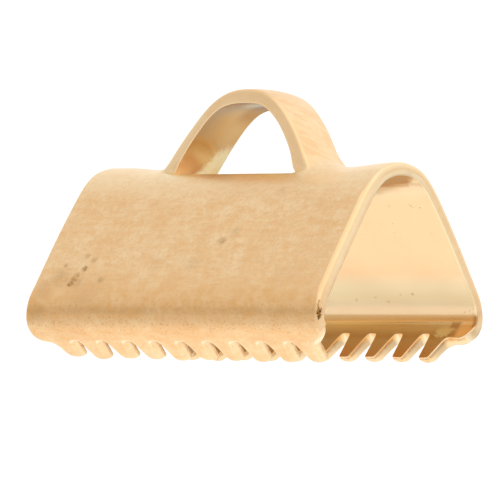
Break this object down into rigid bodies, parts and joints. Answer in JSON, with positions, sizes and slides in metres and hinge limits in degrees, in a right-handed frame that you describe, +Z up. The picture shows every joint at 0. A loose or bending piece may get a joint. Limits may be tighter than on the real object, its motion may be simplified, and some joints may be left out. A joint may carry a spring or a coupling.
{
  "type": "clamp-on cord end",
  "caption": "Folded sheet clamp for the end of a ribbon or flat cord, with inward teeth along its open bottom and a raised hanging loop on its ridge.",
  "frame": {"origin": "centre of the bounding box at the level of the tooth tips that it stands on", "axes": "+X along the ridge and the rows of teeth, +Y across the fold, +Z up from the teeth to the loop"},
  "size_m": [0.01, 0.0082, 0.0076],
  "materials": {
    "sheet": "satin gold-tone plating"
  },
  "bodies": {
    "root": {"clamp": "sheet"}
  },
  "joints": []
}
